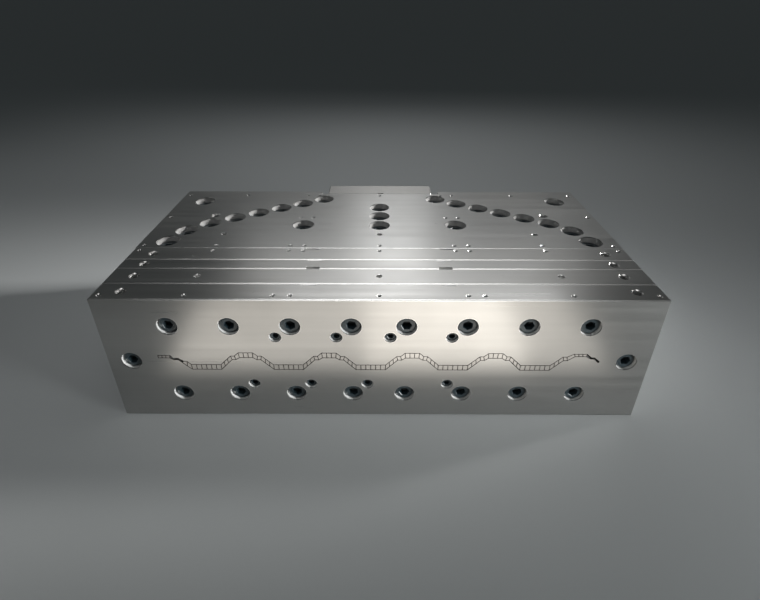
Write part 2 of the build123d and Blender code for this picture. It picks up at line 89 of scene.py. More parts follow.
class Signal:
    """A shader socket that can stand in a Python expression on values."""

    def __init__(self, shader: "Shader", socket: bpy.types.NodeSocket | None) -> None:
        """Wraps a socket.

        Args:
            shader: The material's shader that the socket belongs to.
            socket: The output socket to wrap, or None for a node without one.
        """
        self.shader = shader
        self.socket = socket

    def maths(self, operation: str, *values: Value) -> "Signal":
        """Adds a Math node.

        Args:
            operation: The node's operation.
            *values: Its operands, numbers or signals.

        Returns:
            The node's result.
        """
        return self.shader.node("ShaderNodeMath", {"operation": operation}, dict(enumerate(values)))

    def __add__(self, other: Value) -> "Signal":
        """Sum of this signal and another value."""
        return self.maths("ADD", self, other)

    def __radd__(self, other: Value) -> "Signal":
        """Sum with the signal on the right."""
        return self.maths("ADD", other, self)

    def __sub__(self, other: Value) -> "Signal":
        """This signal less another value."""
        return self.maths("SUBTRACT", self, other)

    def __rsub__(self, other: Value) -> "Signal":
        """Another value less this signal."""
        return self.maths("SUBTRACT", other, self)

    def __mul__(self, other: Value) -> "Signal":
        """Product of this signal and another value."""
        return self.maths("MULTIPLY", self, other)

    def __rmul__(self, other: Value) -> "Signal":
        """Product with the signal on the right."""
        return self.maths("MULTIPLY", other, self)

    def least(self, other: Value) -> "Signal":
        """The smaller of this signal and another value."""
        return self.maths("MINIMUM", self, other)

    def most(self, other: Value) -> "Signal":
        """The larger of this signal and another value."""
        return self.maths("MAXIMUM", self, other)

    def step(self, low: float, high: float) -> "Signal":
        """Turns the signal into a soft mask.

        Args:
            low: Where the mask is 0.
            high: Where the mask is 1. Below low, the mask falls where the signal rises.

        Returns:
            A signal between 0 and 1.
        """
        settings = {"interpolation_type": "SMOOTHSTEP"}
        return self.shader.node("ShaderNodeMapRange", settings, {0: self, 1: low, 2: high})

    def other(self, output: str | int) -> "Signal":
        """Another output of the same node."""
        return Signal(self.shader, self.socket.node.outputs[output])


class Shader:
    """A material under construction, with the expressions that its finish needs."""

    edge_samples = 6

    def __init__(self, name: str) -> None:
        """Starts an empty material.

        Args:
            name: The material's name.
        """
        self.material = bpy.data.materials.new(name)
        self.material.use_nodes = True
        self.tree = self.material.node_tree
        self.tree.nodes.clear()
        self.place = self.node("ShaderNodeTexCoord").other("Object")
        self.x = self.node("ShaderNodeSeparateXYZ", inputs={0: self.place})
        self.y = self.x.other("Y")
        self.z = self.x.other("Z")

    def node(
        self,
        kind: str,
        settings: Mapping[str, Any] | None = None,
        inputs: Mapping[Any, Value] | None = None,
    ) -> Signal:
        """Adds any node.

        Args:
            kind: The node's type.
            settings: Its own properties, set before its sockets.
            inputs: Values or signals by the socket's name or number.

        Returns:
            The node's first output, if it has one.
        """
        made = self.tree.nodes.new(kind)
        for name, value in (settings or {}).items():
            setattr(made, name, value)
        for key, value in (inputs or {}).items():
            if isinstance(value, Signal):
                self.tree.links.new(value.socket, made.inputs[key])
            else:
                made.inputs[key].default_value = value
        return Signal(self, made.outputs[0] if made.outputs else None)

    def noise(self, stretch: Sequence[float], detail: float = 2.0, shift: float = 0.0) -> Signal:
        """Soft noise around 0.5.

        Args:
            stretch: Waves per metre along X, Y and Z.
            detail: How much finer noise is laid over it.
            shift: Moves the pattern, so that two layers differ.

        Returns:
            The noise, from 0 to 1.
        """
        spread = self.node("ShaderNodeMapping", inputs={
            "Vector": self.place, "Location": (shift, shift, shift), "Scale": tuple(stretch),
        })
        return self.node("ShaderNodeTexNoise", inputs={"Vector": spread, "Scale": 1.0, "Detail": detail})

    def inside(self, block: Box, start: float, full: float) -> Signal:
        """Marks what lies inside a block, such as the walls of its bores, and not its outer faces.

        Args:
            block: The block's lowest and highest corner.
            start: Distance from the outer faces at which the mask starts.
            full: Distance at which it is 1.

        Returns:
            A signal between 0 and 1.
        """
        low, high = block
        depth = self.x - low[0]
        for axis, signal in enumerate((self.x, self.y, self.z)):
            depth = depth.least(signal - low[axis]).least(high[axis] - signal)
        return depth.step(start, full)

    def near_edges(self, reach: float, least: float, full: float) -> Signal:
        """Marks a narrow strip along sharp edges.

        Args:
            reach: How far from an edge the strip ends.
            least: Match of the rounded and the flat normal at which the strip starts.
            full: Match at which it is 1.

        Returns:
            A signal between 0 and 1.
        """
        rounded = self.node("ShaderNodeBevel", {"samples": self.edge_samples}, {"Radius": reach})
        flat = self.node("ShaderNodeNewGeometry").other("Normal")
        match = self.node("ShaderNodeVectorMath", {"operation": "DOT_PRODUCT"}, {0: rounded, 1: flat})
        return match.other("Value").step(least, full)

    def mix(self, share: Value, first: Value, second: Value) -> Signal:
        """Blends two colours.

        Args:
            share: How much of the second colour shows.
            first: The first colour.
            second: The second colour.

        Returns:
            The blended colour.
        """
        mixed = self.node("ShaderNodeMix", {"data_type": "RGBA"}, {0: share, 6: first, 7: second})
        return mixed.other(2)

    def bump(self, height: Signal, depth: float) -> Signal:
        """Turns a height into a normal.

        Args:
            height: Height in units of the depth.
            depth: The relief's depth in metres.

        Returns:
            The bumped normal.
        """
        return self.node("ShaderNodeBump", inputs={"Strength": 1.0, "Distance": depth, "Height": height})

    def finish(self, metallic: Value, **sockets: Value) -> bpy.types.Material:
        """Closes the material with its surface.

        Args:
            metallic: 1 for bare metal, 0 for anything else.
            **sockets: Values or signals for the surface's sockets, with _ for a space.

        Returns:
            The finished material.
        """
        inputs = {name.replace("_", " "): value for name, value in sockets.items()}
        surface = self.node("ShaderNodeBsdfPrincipled", inputs={"Metallic": metallic, **inputs})
        self.node("ShaderNodeOutputMaterial", inputs={"Surface": surface})
        return self.material


class Marks(Enum):
    """How often a finish's tool marks repeat along X, Y and Z, in waves per metre."""

    ALONG_SLOT = (5.0, 420.0, 420.0)
    UPRIGHT = (420.0, 420.0, 5.0)
    CROSSED = (260.0, 260.0, 260.0)


def shaded(colour: Colour, share: float) -> Colour:
    """A darker shade of a colour."""
    return tuple(part * share for part in colour[:3]) + (colour[3],)


@dataclass(frozen=True)
class GroundSteel:
    """Bare tool steel from the surface grinder, with its tool marks and stains, and a painted highlight
    on its polished edges.
    """

    name: str
    colour: Colour
    stain_colour: Colour
    roughness: float
    marks: Marks
    mark_depth: float = 2.2e-6
    shift: float = 0.0
    coarse_share: float = 0.65
    coarse_stretch: float = 0.16
    mark_range: tuple[float, float] = (0.25, 0.75)
    mark_shade: float = 0.72
    mark_strength: float = 0.16
    mark_rub: float = 0.07
    stain_waves: float = 4.0
    stain_range: tuple[float, float] = (0.42, 0.72)
    stain_strength: float = 0.5
    stain_rub: float = 0.08
    edge_width: float = 1.1 * MM
    edge_match: tuple[float, float] = (0.999, 0.97)
    # The edges are polished, and their near-white colour is a painted highlight.
    edge_highlight_colour: Colour = (0.92, 0.92, 0.91, 1.0)
    edge_metal: float = 0.85
    edge_roughness: float = 0.2
    # Outside this box the painted edge highlight fades out, as painted falloff of the light towards the
    # ends.
    lit: Box = ((-0.47, -1.0, -1.0), (0.455, 1.0, 1.0))
    fade: float = 70.0 * MM

    def material(self) -> bpy.types.Material:
        """Builds the finish.

        Returns:
            The material.
        """
        shader = Shader(self.name)
        grain = shader.noise(self.marks.value, 3.0, self.shift)
        wide_marks = [wave * self.coarse_stretch for wave in self.marks.value]
        coarse = shader.noise(wide_marks, 2.0, self.shift + 3.1)
        stain = shader.noise([self.stain_waves] * 3, 4.0, self.shift + 7.7).step(*self.stain_range)
        tone = grain * (1.0 - self.coarse_share) + coarse * self.coarse_share
        tone = tone.step(*self.mark_range)
        cloud = stain * self.stain_strength
        base = shader.mix(cloud, self.colour, self.stain_colour)
        base = shader.mix(tone * self.mark_strength, base, shaded(self.colour, self.mark_shade))
        rough = self.roughness + (tone - 0.5) * self.mark_rub + cloud * self.stain_rub
        edge = shader.near_edges(self.edge_width, *self.edge_match)
        # The painted edge highlight fades out towards the block's ends, where less light falls.
        edge = edge * shader.inside(self.lit, 0.0, self.fade)
        base, rough, metal, edge = self._machined(shader, base, rough, edge)
        base = shader.mix(edge, base, self.edge_highlight_colour)
        rough = rough + edge * (self.edge_roughness - rough)
        metal = metal - edge * (metal - self.edge_metal)
        relief = shader.bump(grain + coarse * 0.5, self.mark_depth)
        return shader.finish(metal, Base_Color=base, Roughness=rough, Normal=relief)

    def _machined(
        self, shader: Shader, base: Signal, rough: Signal, edge: Signal
    ) -> tuple[Signal, Signal, Value, Signal]:
        """Leaves room for surfaces that the grinder doesn't reach, of which plain steel has none.

        Args:
            shader: The material's shader.
            base: Colour of the ground faces.
            rough: Their roughness.
            edge: Mask of their polished edges, which carry a painted highlight.

        Returns:
            Colour, roughness, metal and edge mask.
        """
        return base, rough, 1.0, edge


@dataclass(frozen=True)
class BoredSteel(GroundSteel):
    """Ground steel of a block of the die, whose bores are left as machined."""

    block: Box = field(kw_only=True)
    below_chamfers: tuple[float, float] = (2.1 * MM, 2.5 * MM)
    bore_colour: Colour = (0.72, 0.72, 0.71, 1.0)
    bore_metal: float = 0.35
    bore_roughness: float = 0.75
    turning_waves: float = 700.0
    turning_rub: float = 0.2

    def _machined(
        self, shader: Shader, base: Signal, rough: Signal, edge: Signal
    ) -> tuple[Signal, Signal, Value, Signal]:
        """Dulls the walls of the bores.

        Args:
            shader: The material's shader.
            base: Colour of the ground faces.
            rough: Their roughness.
            edge: Mask of their polished edges, which carry a painted highlight.

        Returns:
            Colour, roughness, metal and edge mask with the bores in them.
        """
        inside = shader.inside(self.block, *self.below_chamfers)
        turned = shader.noise([self.turning_waves] * 3, 2.0, self.shift)
        base = shader.mix(inside, base, self.bore_colour)
        rough = rough + inside * (self.bore_roughness - rough + (turned - 0.5) * self.turning_rub)
        return base, rough, 1.0 - inside * (1.0 - self.bore_metal), edge


@dataclass(frozen=True)
class SlottedSteel(BoredSteel):
    """Bored steel round the wire-cut slot, with painted shade in the slot and along its edges."""

    slot: Box = field(kw_only=True)
    laps: tuple[Box, ...] = ()
    # Share by which the painted shade in the slot is lighter at the laps.
    lap_light: float = 0.25
    below_face: tuple[float, float] = (0.03 * MM, 0.15 * MM)
    # Painted shade: the slot's walls and a strip along its edges are painted this dark colour.
    slot_shade_colour: Colour = (0.07, 0.065, 0.06, 1.0)
    slot_edge_shade: float = 0.8
    slot_edge_shade_width: float = 0.88 * MM
    slot_edge_shade_match: tuple[float, float] = (0.995, 0.9)

    def _machined(
        self, shader: Shader, base: Signal, rough: Signal, edge: Signal
    ) -> tuple[Signal, Signal, Value, Signal]:
        """Dulls the bores, and paints shade into the slot and along its edges.

        Args:
            shader: The material's shader.
            base: Colour of the ground faces.
            rough: Their roughness.
            edge: Mask of their polished edges, which carry a painted highlight.

        Returns:
            Colour, roughness, metal and edge mask with the bores and the slot in them.
        """
        base, rough, metal, edge = super()._machined(shader, base, rough, edge)
        around = shader.inside(self.slot, 0.0, MM)
        narrow = shader.inside(self.block, *self.below_face) * around
        for lap in self.laps:
            narrow = narrow * (1.0 - shader.inside(lap, 0.0, MM) * self.lap_light)
        # A strip along the slot's edges is painted dark as shade, on top of the painted shade in the
        # slot.
        line = shader.near_edges(self.slot_edge_shade_width, *self.slot_edge_shade_match) * around
        base = shader.mix(narrow.most(line * self.slot_edge_shade), base, self.slot_shade_colour)
        return base, rough, metal.most(narrow), edge * (1.0 - around)


@dataclass(frozen=True)
class BlackOxide:
    """Blackened steel of the screws, rubbed a little brighter where keys and fingers reach."""

    name: str = "black_oxide"
    colour: Colour = (0.012, 0.021, 0.026, 1.0)
    worn_colour: Colour = (0.04, 0.05, 0.055, 1.0)
    wear: float = 0.5
    roughness: float = 0.36
    refraction: float = 1.5
    grain_waves: float = 900.0
    grain_depth: float = 8e-6
    wear_waves: float = 45.0

    def material(self) -> bpy.types.Material:
        """Builds the finish.

        Returns:
            The material.
        """
        shader = Shader(self.name)
        grain = shader.noise([self.grain_waves] * 3, 2.0)
        worn = shader.noise([self.wear_waves] * 3, 3.0, 5.0).step(0.52, 0.7)
        base = shader.mix(worn * self.wear, self.colour, self.worn_colour)
        rough = self.roughness + (grain - 0.5) * 0.2 - worn * 0.06
        relief = shader.bump(grain, self.grain_depth)
        return shader.finish(0.0, Base_Color=base, Roughness=rough, Normal=relief, IOR=self.refraction)


@dataclass(frozen=True)
class TurnedMetal:
    """A lathe-turned metal, with fine rings around an axis that runs along Y."""

    name: str
    colour: Colour
    roughness: float
    centre_height: float
    rings: float = 2500.0
    ring_depth: float = 4e-6
    stain_waves: float = 30.0

    def material(self) -> bpy.types.Material:
        """Builds the finish.

        Returns:
            The material.
        """
        shader = Shader(self.name)
        rise = shader.z - self.centre_height
        radius = shader.x.maths("SQRT", shader.x * shader.x + rise * rise)
        groove = radius.maths("SINE", radius * self.rings)
        cloud = shader.noise([self.stain_waves] * 3, 3.0)
        base = shader.mix(cloud.step(0.4, 0.7) * 0.3, self.colour, shaded(self.colour, 0.7))
        rough = self.roughness + (cloud - 0.5) * 0.15
        relief = shader.bump(groove, self.ring_depth)
        return shader.finish(1.0, Base_Color=base, Roughness=rough, Normal=relief)


@dataclass(frozen=True)
class StudioFloor:
    """The pale matt sheet that the die stands on."""

    name: str = "studio_floor"
    colour: Colour = (0.49, 0.51, 0.515, 1.0)
    roughness: float = 0.7

    def material(self) -> bpy.types.Material:
        """Builds the finish.

        Returns:
            The material.
        """
        return Shader(self.name).finish(0.0, Base_Color=self.colour, Roughness=self.roughness)


def deselect() -> None:
    """Leaves edit mode and deselects every object."""
    if bpy.context.object and bpy.context.object.mode != "OBJECT":
        bpy.ops.object.mode_set(mode="OBJECT")
    bpy.ops.object.select_all(action="DESELECT")


def hold(*pieces: bpy.types.Object) -> None:
    """Selects some objects alone, and makes the first of them active.

    Args:
        *pieces: The objects.
    """
    deselect()
    for piece in pieces:
        piece.select_set(True)
    bpy.context.view_layer.objects.active = pieces[0]


@contextmanager
def editing(piece: bpy.types.Object, mode: str = "FACE") -> Iterator[None]:
    """Opens a piece in edit mode with nothing selected, and closes it again.

    Args:
        piece: The object to edit.
        mode: What is picked there: VERT, EDGE or FACE.

    Yields:
        Nothing.
    """
    hold(piece)
    bpy.ops.object.mode_set(mode="EDIT")
    bpy.ops.mesh.select_mode(type=mode)
    bpy.ops.mesh.select_all(action="DESELECT")
    yield
    bpy.ops.object.mode_set(mode="OBJECT")


def pick_faces(piece: bpy.types.Object, wanted: Callable[[Vector, Vector], bool]) -> None:
    """Selects faces of the piece in edit mode by their middle and normal.

    Args:
        piece: The object in edit mode.
        wanted: Says of a face's middle and normal whether it is picked.
    """
    mesh = bmesh.from_edit_mesh(piece.data)
    for face in mesh.faces:
        face.select_set(wanted(face.calc_center_median(), face.normal))
    bmesh.update_edit_mesh(piece.data)


def pick_edges(piece: bpy.types.Object, wanted: Callable[[Vector, Vector], bool]) -> None:
    """Selects edges of the piece in edit mode by their two ends.

    Args:
        piece: The object in edit mode.
        wanted: Says of an edge's two ends whether it is picked.
    """
    mesh = bmesh.from_edit_mesh(piece.data)
    for edge in mesh.edges:
        edge.select_set(wanted(edge.verts[0].co, edge.verts[1].co))
    bmesh.update_edit_mesh(piece.data)


def set_place(piece: bpy.types.Object) -> None:
    """Moves a piece's place and turn into its mesh."""
    hold(piece)
    bpy.ops.object.transform_apply(location=True, rotation=True, scale=True)


def merged(name: str, pieces: Sequence[bpy.types.Object]) -> bpy.types.Object:
    """Joins pieces into one object whose origin is the frame's.

    Args:
        name: The new object's name.
        pieces: The pieces to join.

    Returns:
        The joined object.
    """
    for piece in pieces:
        set_place(piece)
    hold(*pieces)
    bpy.ops.object.join()
    whole = bpy.context.object
    whole.name = name
    whole.data.name = name
    return whole


def repeated(model: bpy.types.Object, places: Sequence[Matrix]) -> list[bpy.types.Object]:
    """Copies a model to each place, and removes the model itself.

    Args:
        model: The piece that was modelled once, at the origin.
        places: Where the copies go.

    Returns:
        The copies, each with its own mesh.
    """
    copies = []
    for place in places:
        copy = model.copy()
        copy.data = model.data.copy()
        bpy.context.collection.objects.link(copy)
        copy.matrix_world = place
        copies.append(copy)
    bpy.data.objects.remove(model)
    return copies


def dress(piece: bpy.types.Object, material: bpy.types.Material) -> None:
    """Gives a piece one material all over.

    Args:
        piece: The object.
        material: Its material.
    """
    piece.data.materials.clear()
    piece.data.materials.append(material)


def smooth(piece: bpy.types.Object, angle: float = 32.0) -> None:
    """Shades a piece smooth, apart from its edges that are sharper than an angle in degrees."""
    hold(piece)
    bpy.ops.object.shade_smooth_by_angle(angle=math.radians(angle))


def extrude(step: float) -> None:
    """Draws the picked faces out along Z, in edit mode."""
    bpy.ops.mesh.extrude_region_move(TRANSFORM_OT_translate={"value": (0.0, 0.0, step)})


def solids_of(node: str) -> list[tuple[Vector, Vector]]:
    """Finds the separate solids of a CAD node.

    Args:
        node: The node's name.

    Returns:
        The lowest and the highest corner of each solid.
    """
    source = frame["nodes"][node]
    copy = source.copy()
    copy.data = source.data.copy()
    bpy.context.collection.objects.link(copy)
    with editing(copy, "VERT"):
        bpy.ops.mesh.select_all(action="SELECT")
        bpy.ops.mesh.remove_doubles(threshold=MM / 1000)
        bpy.ops.mesh.separate(type="LOOSE")
    corners = []
    for solid in list(bpy.context.selected_objects):
        points = [solid.matrix_world @ vertex.co for vertex in solid.data.vertices]
        low = Vector([min(point[axis] for point in points) for axis in range(3)])
        high = Vector([max(point[axis] for point in points) for axis in range(3)])
        corners.append((low, high))
        bpy.data.objects.remove(solid)
    return sorted(corners, key=lambda pair: tuple(round(part, 5) for part in pair[0]))


class Facing(Enum):
    """The way a screw's head faces: the axis, its sign and the turn from upright."""

    FRONT = (1, -1, Euler((math.pi / 2, 0.0, 0.0)))
    BACK = (1, 1, Euler((-math.pi / 2, 0.0, 0.0)))
    UP = (2, 1, Euler((0.0, 0.0, 0.0)))

    @property
    def turn(self) -> Matrix:
        """The turn that brings an upright piece to this facing."""
        return self.value[2].to_matrix().to_4x4()

    def head_top(self, low: Vector, high: Vector) -> Vector:
        """Finds the middle of a screw head's outer face.

        Args:
            low: Lowest corner of the screw's box.
            high: Its highest corner.

        Returns:
            The face's middle.
        """
        axis, sign, _ = self.value
        middle = (low + high) / 2
        middle[axis] = high[axis] if sign > 0 else low[axis]
        return middle


@dataclass(frozen=True)
class SocketScrew:
    """A socket head cap screw, modelled with its head up and the head's top at the origin."""

    shank: float
    head: float
    height: float
    socket: float
    length: float
    sides: int = 48
    knurl_depth: float = 0.15 * MM
    rim_bevel: float = 0.07
    mouth_bevel: float = 0.02
    drill_point: float = 0.12
    tip_length: float = 0.08
    tip_taper: float = 0.84

    @property
    def socket_depth(self) -> float:
        """Depth of the hexagonal socket."""
        return self.height / 2

    def model(self) -> bpy.types.Object:
        """Models the screw.

        Returns:
            The screw as one object.
        """
        deselect()
        bpy.ops.mesh.primitive_cylinder_add(
            vertices=self.sides, radius=self.head / 2, depth=self.height,
            location=(0.0, 0.0, -self.height / 2),
        )
        head = bpy.context.object
        set_place(head)
        self._knurl(head)
        self._round_rim(head)
        self._cut_socket(head)
        self._draw_shank(head)
        smooth(head)
        return head

    def _knurl(self, head: bpy.types.Object) -> None:
        """Pulls every second upright edge of the grip inwards.

        Args:
            head: The head, whose points come in upright pairs.
        """
        share = 1.0 - self.knurl_depth / (self.head / 2)
        for number, vertex in enumerate(head.data.vertices):
            if number // 2 % 2:
                vertex.co.x *= share
                vertex.co.y *= share

    def _round_rim(self, head: bpy.types.Object) -> None:
        """Bevels the head's top edge.

        Args:
            head: The head.
        """
        with editing(head, "EDGE"):
            pick_edges(head, lambda start, end: start.z > -MM / 10 and end.z > -MM / 10)
            bpy.ops.mesh.bevel(offset=self.head * self.rim_bevel, segments=3, affect="EDGES")

    def _cut_socket(self, head: bpy.types.Object) -> None:
        """Sinks the hexagonal socket into the head's top.

        Args:
            head: The head.
        """
        mouth = self.socket / 2
        with editing(head):
            pick_faces(head, lambda middle, normal: normal.z > 0.99 and middle.xy.length < MM)
            bpy.ops.mesh.inset(thickness=self.head * (0.5 - self.rim_bevel) - mouth)
            self._square_to_hexagon(head, mouth)
            bpy.ops.mesh.inset(thickness=self.head * self.mouth_bevel)
            bpy.ops.transform.translate(value=(0.0, 0.0, -self.head * self.mouth_bevel))
            extrude(-self.socket_depth)
            bpy.ops.mesh.poke()
            mesh = bmesh.from_edit_mesh(head.data)
            sunk = (vertex for vertex in mesh.verts if vertex.co.z < -MM / 2)
            point = min(sunk, key=lambda vertex: vertex.co.xy.length)
            point.co.z -= self.socket * self.drill_point
            bmesh.update_edit_mesh(head.data)

    def _square_to_hexagon(self, head: bpy.types.Object, half_width: float) -> None:
        """Presses the picked ring of points onto a hexagon.

        Args:
            head: The head in edit mode, with the ring's face picked.
            half_width: Half the hexagon's width across its flats.
        """
        mesh = bmesh.from_edit_mesh(head.data)
        sector = math.pi / 3
        for vertex in (vertex for vertex in mesh.verts if vertex.select):
            angle = math.atan2(vertex.co.y, vertex.co.x)
            from_flat = (angle % sector) - sector / 2
            reach = half_width / math.cos(from_flat) / vertex.co.xy.length
            vertex.co.x *= reach
            vertex.co.y *= reach
        bmesh.update_edit_mesh(head.data)

    def _draw_shank(self, head: bpy.types.Object) -> None:
        """Draws the shank out of the head's underside, with a chamfered tip.

        Args:
            head: The head.
        """
        tip = self.shank * self.tip_length
        with editing(head):
            pick_faces(head, lambda middle, normal: normal.z < -0.99 and middle.xy.length < MM)
            bpy.ops.mesh.inset(thickness=(self.head - self.shank) / 2)
            extrude(tip - self.length)
            extrude(-tip)
            bpy.ops.transform.resize(value=(self.tip_taper, self.tip_taper, 1.0))


M30 = {"shank": 30 * MM, "head": 45 * MM, "height": 30 * MM, "socket": 22 * MM}
M24 = {"shank": 24 * MM, "head": 36 * MM, "height": 24 * MM, "socket": 19 * MM}
M20 = {"shank": 20 * MM, "head": 30 * MM, "height": 20 * MM, "socket": 17 * MM}
M14 = {"shank": 14 * MM, "head": 21 * MM, "height": 14 * MM, "socket": 12 * MM}
M8 = {"shank": 8 * MM, "head": 13 * MM, "height": 8 * MM, "socket": 6 * MM}

SCREWS = (
    ("long_front_screws", M24, Facing.FRONT),
    ("end_front_screws", M24, Facing.FRONT),
    ("lip_screws", M14, Facing.FRONT),
    ("coat_hanger_screws", M30, Facing.UP),
    ("centre_screws", M30, Facing.UP),
    ("corner_screws", M30, Facing.UP),
    ("adapter_screws", M20, Facing.BACK),
    ("foot_screws", M8, Facing.BACK),
)


@dataclass
class ScrewSet:
    """All the screws of one CAD node, modelled again and set where the node has them."""

    node: str
    size: Mapping[str, float]
    facing: Facing
    seed: int
    finish: bpy.types.Material
    slot: str = "black_screw"

    def places(self) -> tuple[list[Matrix], float]:
        """Reads the screws' places from the CAD node.

        Returns:
            A place for each screw, turned about its axis by chance, and the shank's length.
        """
        draw = random.Random(self.seed)
        axis = self.facing.value[0]
        places = []
        length = 0.0
        for low, high in solids_of(self.node):
            spin = Matrix.Rotation(draw.uniform(0.0, math.pi / 3), 4, "Z")
            top = Matrix.Translation(self.facing.head_top(low, high))
            places.append(top @ self.facing.turn @ spin)
            length = high[axis] - low[axis] - self.size["height"]
        return places, length

    def build(self) -> bpy.types.Object:
        """Models the set.

        Returns:
            The set as one object.
        """
        places, length = self.places()
        screw = SocketScrew(**self.size, length=length).model()
        screws = merged(f"{self.node}_detailed", repeated(screw, places))
        dress(screws, self.finish)
        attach(screws, BODY)
        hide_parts(self.node)
        return screws


@dataclass(frozen=True)
class ThreadSize:
    """A tapped thread: its core radius, its pitch, and the turns that are modelled at the mouth."""

    core_radius: float
    pitch: float
    depth: float
    turns: int
    steps: int

    def model(self) -> bpy.types.Object:
        """Models the thread's ridge as a helix that hangs down from the origin.

        Returns:
            The ridge as one object.
        """
        deselect()
        bpy.ops.mesh.primitive_circle_add(
            vertices=3, radius=self.depth, location=(self.core_radius, 0.0, 0.0),
            rotation=(math.pi / 2, 0.0, 0.0),
        )
        ridge = bpy.context.object
        set_place(ridge)
        with editing(ridge, "VERT"):
            bpy.ops.mesh.select_all(action="SELECT")
            bpy.ops.transform.rotate(
                value=math.pi / 2, orient_axis="Y", center_override=(self.core_radius, 0.0, 0.0)
            )
        winding = ridge.modifiers.new("winding", "SCREW")
        winding.axis = "Z"
        winding.screw_offset = -self.pitch
        winding.iterations = self.turns
        winding.steps = self.steps
        winding.render_steps = self.steps
        hold(ridge)
        bpy.ops.object.modifier_apply(modifier=winding.name)
        with editing(ridge, "VERT"):
            bpy.ops.mesh.select_non_manifold()
            bpy.ops.mesh.fill_holes(sides=3)
            bpy.ops.mesh.select_all(action="SELECT")
            bpy.ops.mesh.normals_make_consistent(inside=False)
        return ridge


LIFTING_THREAD = ThreadSize(8.75 * MM, 2.5 * MM, 0.9 * MM, turns=9, steps=32)
COVER_THREAD = ThreadSize(3.4 * MM, 1.25 * MM, 0.45 * MM, turns=7, steps=16)


@dataclass
class TappedHoles:
    """Threads in the mouths of the tapped holes that the record names as mounts."""

    name: str
    size: ThreadSize
    endings: tuple[str, ...]
    mouth_drop: float
    finish: bpy.types.Material
    slot: str = "plate_steel"

    def mouths(self) -> list[Matrix]:
        """Works out each hole's mouth from the record's mounts.

        Returns:
            A place for each thread.
        """
        places = []
        for mount in frame["record"]["mounts"]:
            named = any(ending in mount["name"] for ending in self.endings)
            if mount["kind"] != "bolt_pattern" or not named:
                continue
            dims = mount["dims"]
            centre = Vector(mount["pos_m"])
            if "pcd_mm" in dims:
                places += self._circle(centre, dims)
            else:
                places += self._rectangle(centre, dims)
        return places

    def _circle(self, centre: Vector, dims: Mapping[str, float]) -> list[Matrix]:
        """Works out the mouths on a bolt circle that faces backwards.

        Args:
            centre: The circle's centre.
            dims: The mount's dimensions.

        Returns:
            A place for each hole.
        """
        count = dims["count"]
        places = []
        for number in range(count):
            angle = 2 * math.pi * (number + 0.5) / count
            arm = Vector((math.cos(angle), 0.0, math.sin(angle))) * dims["pcd_mm"] * MM / 2
            mouth = centre + arm - Vector((0.0, self.mouth_drop, 0.0))
            places.append(Matrix.Translation(mouth) @ Facing.BACK.turn)
        return places

    def _rectangle(self, centre: Vector, dims: Mapping[str, float]) -> list[Matrix]:
        """Works out the mouths on a rectangle or a line that faces up.

        Args:
            centre: The pattern's centre.
            dims: The mount's dimensions.

        Returns:
            A place for each hole.
        """
        across, along = (
            [side * dims[key] * MM for side in (-0.5, 0.5)] if key in dims else [0.0]
            for key in ("spacing_x_mm", "spacing_y_mm")
        )
        mouth = centre - Vector((0.0, 0.0, self.mouth_drop))
        return [Matrix.Translation(mouth + Vector((x, y, 0.0))) for x in across for y in along]

    def build(self) -> bpy.types.Object:
        """Models the threads.

        Returns:
            The threads as one object.
        """
        threads = merged(self.name, repeated(self.size.model(), self.mouths()))
        dress(threads, self.finish)
        smooth(threads)
        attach(threads, BODY)
        return threads


@dataclass
class PunchMarks:
    """Small centre-punch marks on the top, each a burr around a shallow pit."""

    finish: bpy.types.Material
    places: tuple[tuple[float, float], ...] = (
        (-119.5, 326.5), (135.4, 322.7), (-392.0, 161.0), (-236.0, 168.0), (-235.7, 128.0),
        (-233.5, 25.0), (249.0, 171.0), (244.0, 126.0), (241.0, 84.0), (238.0, 26.0),
    )
    radius: float = 0.9 * MM
    burr: float = 0.22 * MM
    blend_angle: float = 60.0
    slot: str = "plate_steel"

    def build(self) -> bpy.types.Object:
        """Models the marks.

        Returns:
            The marks as one object.
        """
        front, top = cad_bounds[0][1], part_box("lip_plate")[1][2]
        deselect()
        bpy.ops.mesh.primitive_torus_add(
            major_radius=self.radius, minor_radius=self.burr, major_segments=20, minor_segments=8
        )
        model = bpy.context.object
        places = [Matrix.Translation((x * MM, front + depth * MM, top)) for x, depth in self.places]
        marks = merged("punch_marks", repeated(model, places))
        dress(marks, self.finish)
        smooth(marks, self.blend_angle)
        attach(marks, BODY)
        return marks


